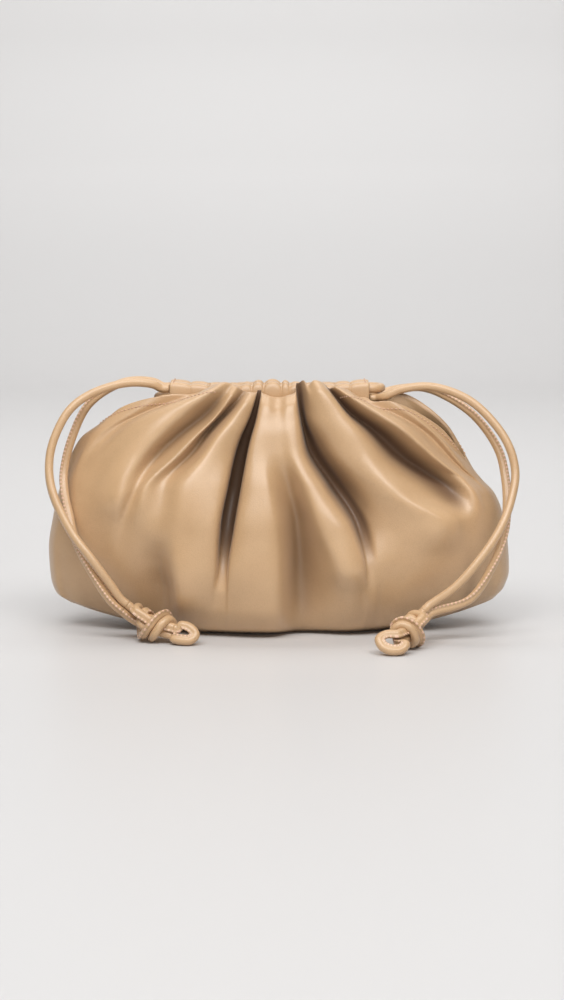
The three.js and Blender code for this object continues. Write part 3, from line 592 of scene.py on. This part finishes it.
def add_channels(material):
    """Ruched sleeves round the cords. Each gather bulges like a finger tip between two creases."""
    for side, sign in (("front", -1), ("back", 1)):
        xs = np.linspace(CHANNEL_LEFT, CHANNEL_RIGHT, 330)
        creases = np.array(GATHERS)
        index = np.clip(np.searchsorted(creases, xs, side="right") - 1, 0, len(creases) - 2)
        within = (xs - creases[index]) / (creases[index + 1] - creases[index])
        bulge = np.sqrt(np.maximum(0, 1 - (2 * within - 1) ** 2))
        angles = np.linspace(0, 2 * math.pi, 41)[:-1]
        cos, sin = np.cos(angles)[None], np.sin(angles)[None]
        grow = CHANNEL_RUCHE * (0.3 + 1.6 * bulge)[:, None]
        y = (CHANNEL_THICKNESS / 2 + grow) * squared(cos)
        open_mouth = np.exp(-(((xs + 5) / 16) ** 2))[:, None]
        finger = mix(0.6, 3.4, open_mouth) * bulge[:, None] - mix(0.8, 0.6, open_mouth)
        z = (CHANNEL_HEIGHT / 2 + grow) * squared(sin) + finger * np.maximum(sin, 0) ** 2
        z += CHANNEL_TOP - CHANNEL_RUCHE - CHANNEL_HEIGHT / 2 - mouth_sag(xs)[:, None]
        rows = np.stack([xs[:, None] + 0 * y, sign * CHANNEL_Y + y, z], axis=2)
        centre = np.array([0, sign * CHANNEL_Y, CHANNEL_TOP - CHANNEL_RUCHE - CHANNEL_HEIGHT / 2])
        inner = rows[[0, -1]].copy()
        inner[..., 1:] = centre[1:] + (inner[..., 1:] - centre[1:]) * 0.8
        rows = np.concatenate([inner[:1], rows, inner[1:], inner[:1]], axis=0)
        rows = np.concatenate([rows, rows[:, :1]], axis=1)
        piece = mesh_object(f"channel_skin_{side}", grid_mesh(rows), material)
        finish_piece(piece, "channel_leather", f"channel_{side}")


# The sewing thread: its colour and the length of one stitch with its gap.
THREAD = (0.72, 0.47, 0.33)
STITCH_PITCH, STITCH_LENGTH, STITCH_RADIUS, STITCH_STANDS = 2.6, 1.75, 0.42, 0.15


def stitch_row(bm, points, out):
    """Stitches of thick thread along points, in millimetres, standing a little out of the leather."""
    route = Route(points)
    for start in np.arange(0.4, route.length - 1.7, STITCH_PITCH):
        first, last = route.at_lengths([start, start + STITCH_LENGTH])
        along = Vector(last - first)
        middle = Vector((first + last) / 2) + Vector(out) * STITCH_STANDS
        turn = along.to_track_quat("X", "Z").to_matrix().to_4x4()
        size = Matrix.Diagonal((along.length / 2 * MM, STITCH_RADIUS * MM, STITCH_RADIUS * MM, 1))
        place = Matrix.Translation(middle * MM) @ turn @ size
        bmesh.ops.create_icosphere(bm, subdivisions=1, radius=1, matrix=place)


def add_stitching(material):
    """The sewn edges that show: the channels' ends and the hem of both gussets."""
    bm = bmesh.new()
    for sign in (-1, 1):
        for x in (CHANNEL_LEFT + 2.6, CHANNEL_RIGHT - 2.6):
            angles = np.linspace(0, 2 * math.pi, 41)
            grow = CHANNEL_RUCHE * 0.9
            y = sign * CHANNEL_Y + (CHANNEL_THICKNESS / 2 + grow) * squared(np.cos(angles))
            z = (CHANNEL_HEIGHT / 2 + grow) * squared(np.sin(angles))
            z += CHANNEL_TOP - CHANNEL_RUCHE - CHANNEL_HEIGHT / 2
            stitch_row(bm, np.stack([x + 0 * y, y, z], axis=1), (0, 0, 0))
    hem, _ = wall_rings([0.03, 0.033], 4)
    normal = outward(hem)[0]
    half = hem.shape[1] // 2
    for columns in (slice(3, half // 5), slice(half - half // 5, half - 3), slice(half + 3, half + half // 5),
                    slice(-(half // 5), -3)):
        points = hem[0, columns] + normal[columns] * 0.25
        stitch_row(bm, points[::3], (0, 0, 0))
    piece = mesh_object("stitching", bm, material)
    finish_piece(piece, "channel_leather")


class Socket:
    """Wraps a node socket so that shader maths reads as plain expressions."""

    def __init__(self, shader, socket):
        self.shader, self.socket = shader, socket

    def math(self, operation, other, swapped=False):
        pair = (other, self) if swapped else (self, other)
        return self.shader.node("ShaderNodeMath", {"operation": operation}, dict(enumerate(pair)))

    def __add__(self, other):
        return self.math("ADD", other)

    def __radd__(self, other):
        return self.math("ADD", other, True)

    def __sub__(self, other):
        return self.math("SUBTRACT", other)

    def __rsub__(self, other):
        return self.math("SUBTRACT", other, True)

    def __mul__(self, other):
        return self.math("MULTIPLY", other)

    def __rmul__(self, other):
        return self.math("MULTIPLY", other, True)


class Shader:
    """A material's node tree, with one method that adds any node."""

    def __init__(self, name):
        self.material = bpy.data.materials.new(name)
        self.material.use_nodes = True
        self.tree = self.material.node_tree
        self.surface = self.tree.nodes["Principled BSDF"]

    def node(self, kind, settings=None, inputs=None, output=0):
        made = self.tree.nodes.new(kind)
        for key, value in (settings or {}).items():
            setattr(made, key, value)
        for key, value in (inputs or {}).items():
            self.feed(made.inputs[key], value)
        return Socket(self, made.outputs[output])

    def feed(self, target, value):
        if isinstance(value, Socket):
            self.tree.links.new(value.socket, target)
        else:
            target.default_value = value

    def blend(self, mask, first, second):
        """The first colour where the mask is 0 and the second where it is 1."""
        pair = {6: first, 7: second}
        inputs = {key: c if isinstance(c, Socket) else (*c, 1) for key, c in pair.items()}
        return self.node("ShaderNodeMix", {"data_type": "RGBA"}, {0: mask, **inputs}, output=2)

    def fade(self, value, near, far, start, end):
        """A soft step from start to end while the value goes from near to far."""
        return self.node("ShaderNodeMapRange", {"interpolation_type": "SMOOTHSTEP"},
                         {"Value": value, "From Min": near, "From Max": far, "To Min": start, "To Max": end})

    def finish(self, **values):
        for key, value in values.items():
            self.feed(self.surface.inputs[key.replace("_", " ")], value)
        return self.material


def leather(name, colour, shade, crease=None, stitches=False, grain=0.05):
    """Smooth nappa: pebbled grain with fine pores and broad mottling, with painted highlight paling the
    crests and painted shade darkening the hollows.
    """
    s = Shader(name)
    place = s.node("ShaderNodeTexCoord", output=3)
    drift = s.node("ShaderNodeTexNoise", {}, {"Vector": place, "Scale": 9.0, "Detail": 2.0})
    mottle = s.node("ShaderNodeTexNoise", {},
                    {"Vector": place, "Scale": 60.0, "Detail": 4.0, "Roughness": 0.6})
    pebbles = s.node("ShaderNodeTexVoronoi", {"feature": "DISTANCE_TO_EDGE"},
                     {"Vector": place, "Scale": 820.0})
    broad = s.node("ShaderNodeTexNoise", {},
                   {"Vector": place, "Scale": 260.0, "Detail": 5.0, "Roughness": 0.65})
    pores = s.node("ShaderNodeTexNoise", {}, {"Vector": place, "Scale": 1500.0, "Detail": 2.0})
    patches = s.node("ShaderNodeMapRange", {}, {"Value": drift * 0.55 + mottle * 0.45, "From Min": 0.35,
                                                "From Max": 0.65, "To Min": 0.0, "To Max": 1.0})
    tint = s.blend(patches, shade, colour)
    edges = s.fade(pebbles, 0.0, 0.16, 0.0, 1.0)
    darker = [c * 0.72 for c in shade]
    tint = s.blend(0.22 - edges * 0.22, tint, darker)
    height = edges * 0.45 + broad * 0.4 + pores * 0.15
    polish = 0.335 + mottle * 0.1 + broad * 0.06 - edges * 0.05
    if crease:
        # Painted shade: where the stand is low, in the valleys and all over the inside, the colour is blended
        # towards the crease colour.
        stand = s.node("ShaderNodeAttribute", {"attribute_name": "stand"}, output=2)
        hollow_shade = s.fade(stand, 0.0, 0.92, 1.0, 0.0)
        tint = s.blend(hollow_shade * 0.92, tint, crease)
        # Painted highlight: where the stand is highest, on the crests, the colour is blended towards a paler
        # tan, and the crests are made glossier.
        crest_highlight = s.fade(stand, 0.96, 1.08, 0.0, 0.16)
        tint = s.blend(crest_highlight, tint, [min(1, c * 1.35 + 0.02) for c in colour])
        polish = polish - crest_highlight * 0.35 + hollow_shade * 0.35
    if stitches:
        seam = s.node("ShaderNodeAttribute", {"attribute_name": "seam"}, output=2)
        run = s.node("ShaderNodeAttribute", {"attribute_name": "run"}, output=2)
        beat = s.node("ShaderNodeMath", {"operation": "PINGPONG"}, {0: run, 1: STITCH_PITCH / 2})
        edge = s.fade(seam, 0.25, 0.6, 0.0, 1.0)
        sewn = s.fade(beat, STITCH_PITCH * 0.16, STITCH_PITCH * 0.26, 1.0, 0.0) * edge
        tint = s.blend(edge * 0.35, tint, darker)
        tint = s.blend(sewn, tint, THREAD)
        height = height + sewn * 1.6 - edge * 0.5
        polish = polish + sewn * 0.25
    bump = s.node("ShaderNodeBump", {}, {"Strength": 0.42, "Distance": grain * 4 * MM, "Height": height})
    return s.finish(Base_Color=tint, Roughness=polish, Normal=bump, Sheen_Weight=0.1, Sheen_Roughness=0.4,
                    Specular_IOR_Level=0.6, Coat_Weight=0.3, Coat_Roughness=0.32)


def thread(name, colour):
    """Twisted polyester thread, a little paler than the leather."""
    s = Shader(name)
    place = s.node("ShaderNodeTexCoord", output=3)
    twist = s.node("ShaderNodeTexNoise", {}, {"Vector": place, "Scale": 3000.0, "Detail": 2.0})
    tint = s.blend(twist, [c * 0.8 for c in colour], colour)
    bump = s.node("ShaderNodeBump", {}, {"Strength": 0.5, "Distance": 0.2 * MM, "Height": twist})
    return s.finish(Base_Color=tint, Roughness=0.6 + twist * 0.1, Normal=bump)


def add_stage():
    """A pale sweep of floor and backdrop, a broad soft light from above the front and three weaker ones."""
    bm = bmesh.new()
    bmesh.ops.create_grid(bm, x_segments=1, y_segments=60, size=1)
    for v in bm.verts:
        t = (v.co.y + 1) / 2
        bend = max(0, (t - 0.7) / 0.3)
        y = mix(-2.0, 1.6, min(t / 0.7, 1)) + 0.6 * math.sin(bend * math.pi / 2)
        v.co = (v.co.x * 5, y, 0.6 * (1 - math.cos(bend * math.pi / 2)) + 6 * max(0, bend - 0.7))
    s = Shader("pale_floor")
    mesh_object("floor", bm, s.finish(Base_Color=(0.6, 0.59, 0.585, 1), Roughness=0.45))
    world = bpy.data.worlds.new("studio")
    bpy.context.scene.world = world
    world.use_nodes = True
    background = world.node_tree.nodes["Background"]
    background.inputs["Color"].default_value = (1, 1, 1, 1)
    background.inputs["Strength"].default_value = 0.05
    Light = namedtuple("Light", "name place aim width depth power")
    for light in (
        Light("key", (0, -1.15, 1.6), (0, 0, 0.06), 2.6, 0.8, 48),
        Light("fill", (0, -1.9, 0.5), (0, 0, 0.05), 2.0, 0.6, 4.5),
        Light("top", (0.2, 0.0, 1.6), (0, 0, 0.05), 0.8, 0.8, 1.5),
        Light("backdrop", (0, 0.9, 1.9), (0, 2.2, 0.5), 2.0, 2.0, 38),
    ):
        data = bpy.data.lights.new(light.name, "AREA")
        data.shape = "RECTANGLE"
        data.size, data.size_y, data.energy = light.width, light.depth, light.power
        lamp = bpy.data.objects.new(light.name, data)
        bpy.context.scene.collection.objects.link(lamp)
        lamp.location = light.place
        lamp.rotation_euler = (Vector(light.aim) - lamp.location).to_track_quat("-Z", "Y").to_euler()
    bpy.context.scene.view_settings.view_transform = "Standard"


# The leather's colour and its darker patches, those of the cords, and the colour of the painted shade in a
# crease.
SKIN, SKIN_SHADE = (0.575, 0.37, 0.2), (0.52, 0.325, 0.17)
CORD, CORD_SHADE = (0.61, 0.395, 0.215), (0.54, 0.34, 0.178)
CREASE_SHADE = (0.1, 0.045, 0.018)

add_camera()
TAN = leather("tan_leather", SKIN, SKIN_SHADE)
CORD_TAN = leather("cord_leather", CORD, CORD_SHADE, stitches=True, grain=0.03)
add_cords(CORD_TAN)
add_held_runs(CORD_TAN)
add_channels(TAN)
add_stitching(thread("sewing_thread", THREAD))
add_pouch(leather("pouch_leather", SKIN, SKIN_SHADE, crease=CREASE_SHADE))
add_stage()
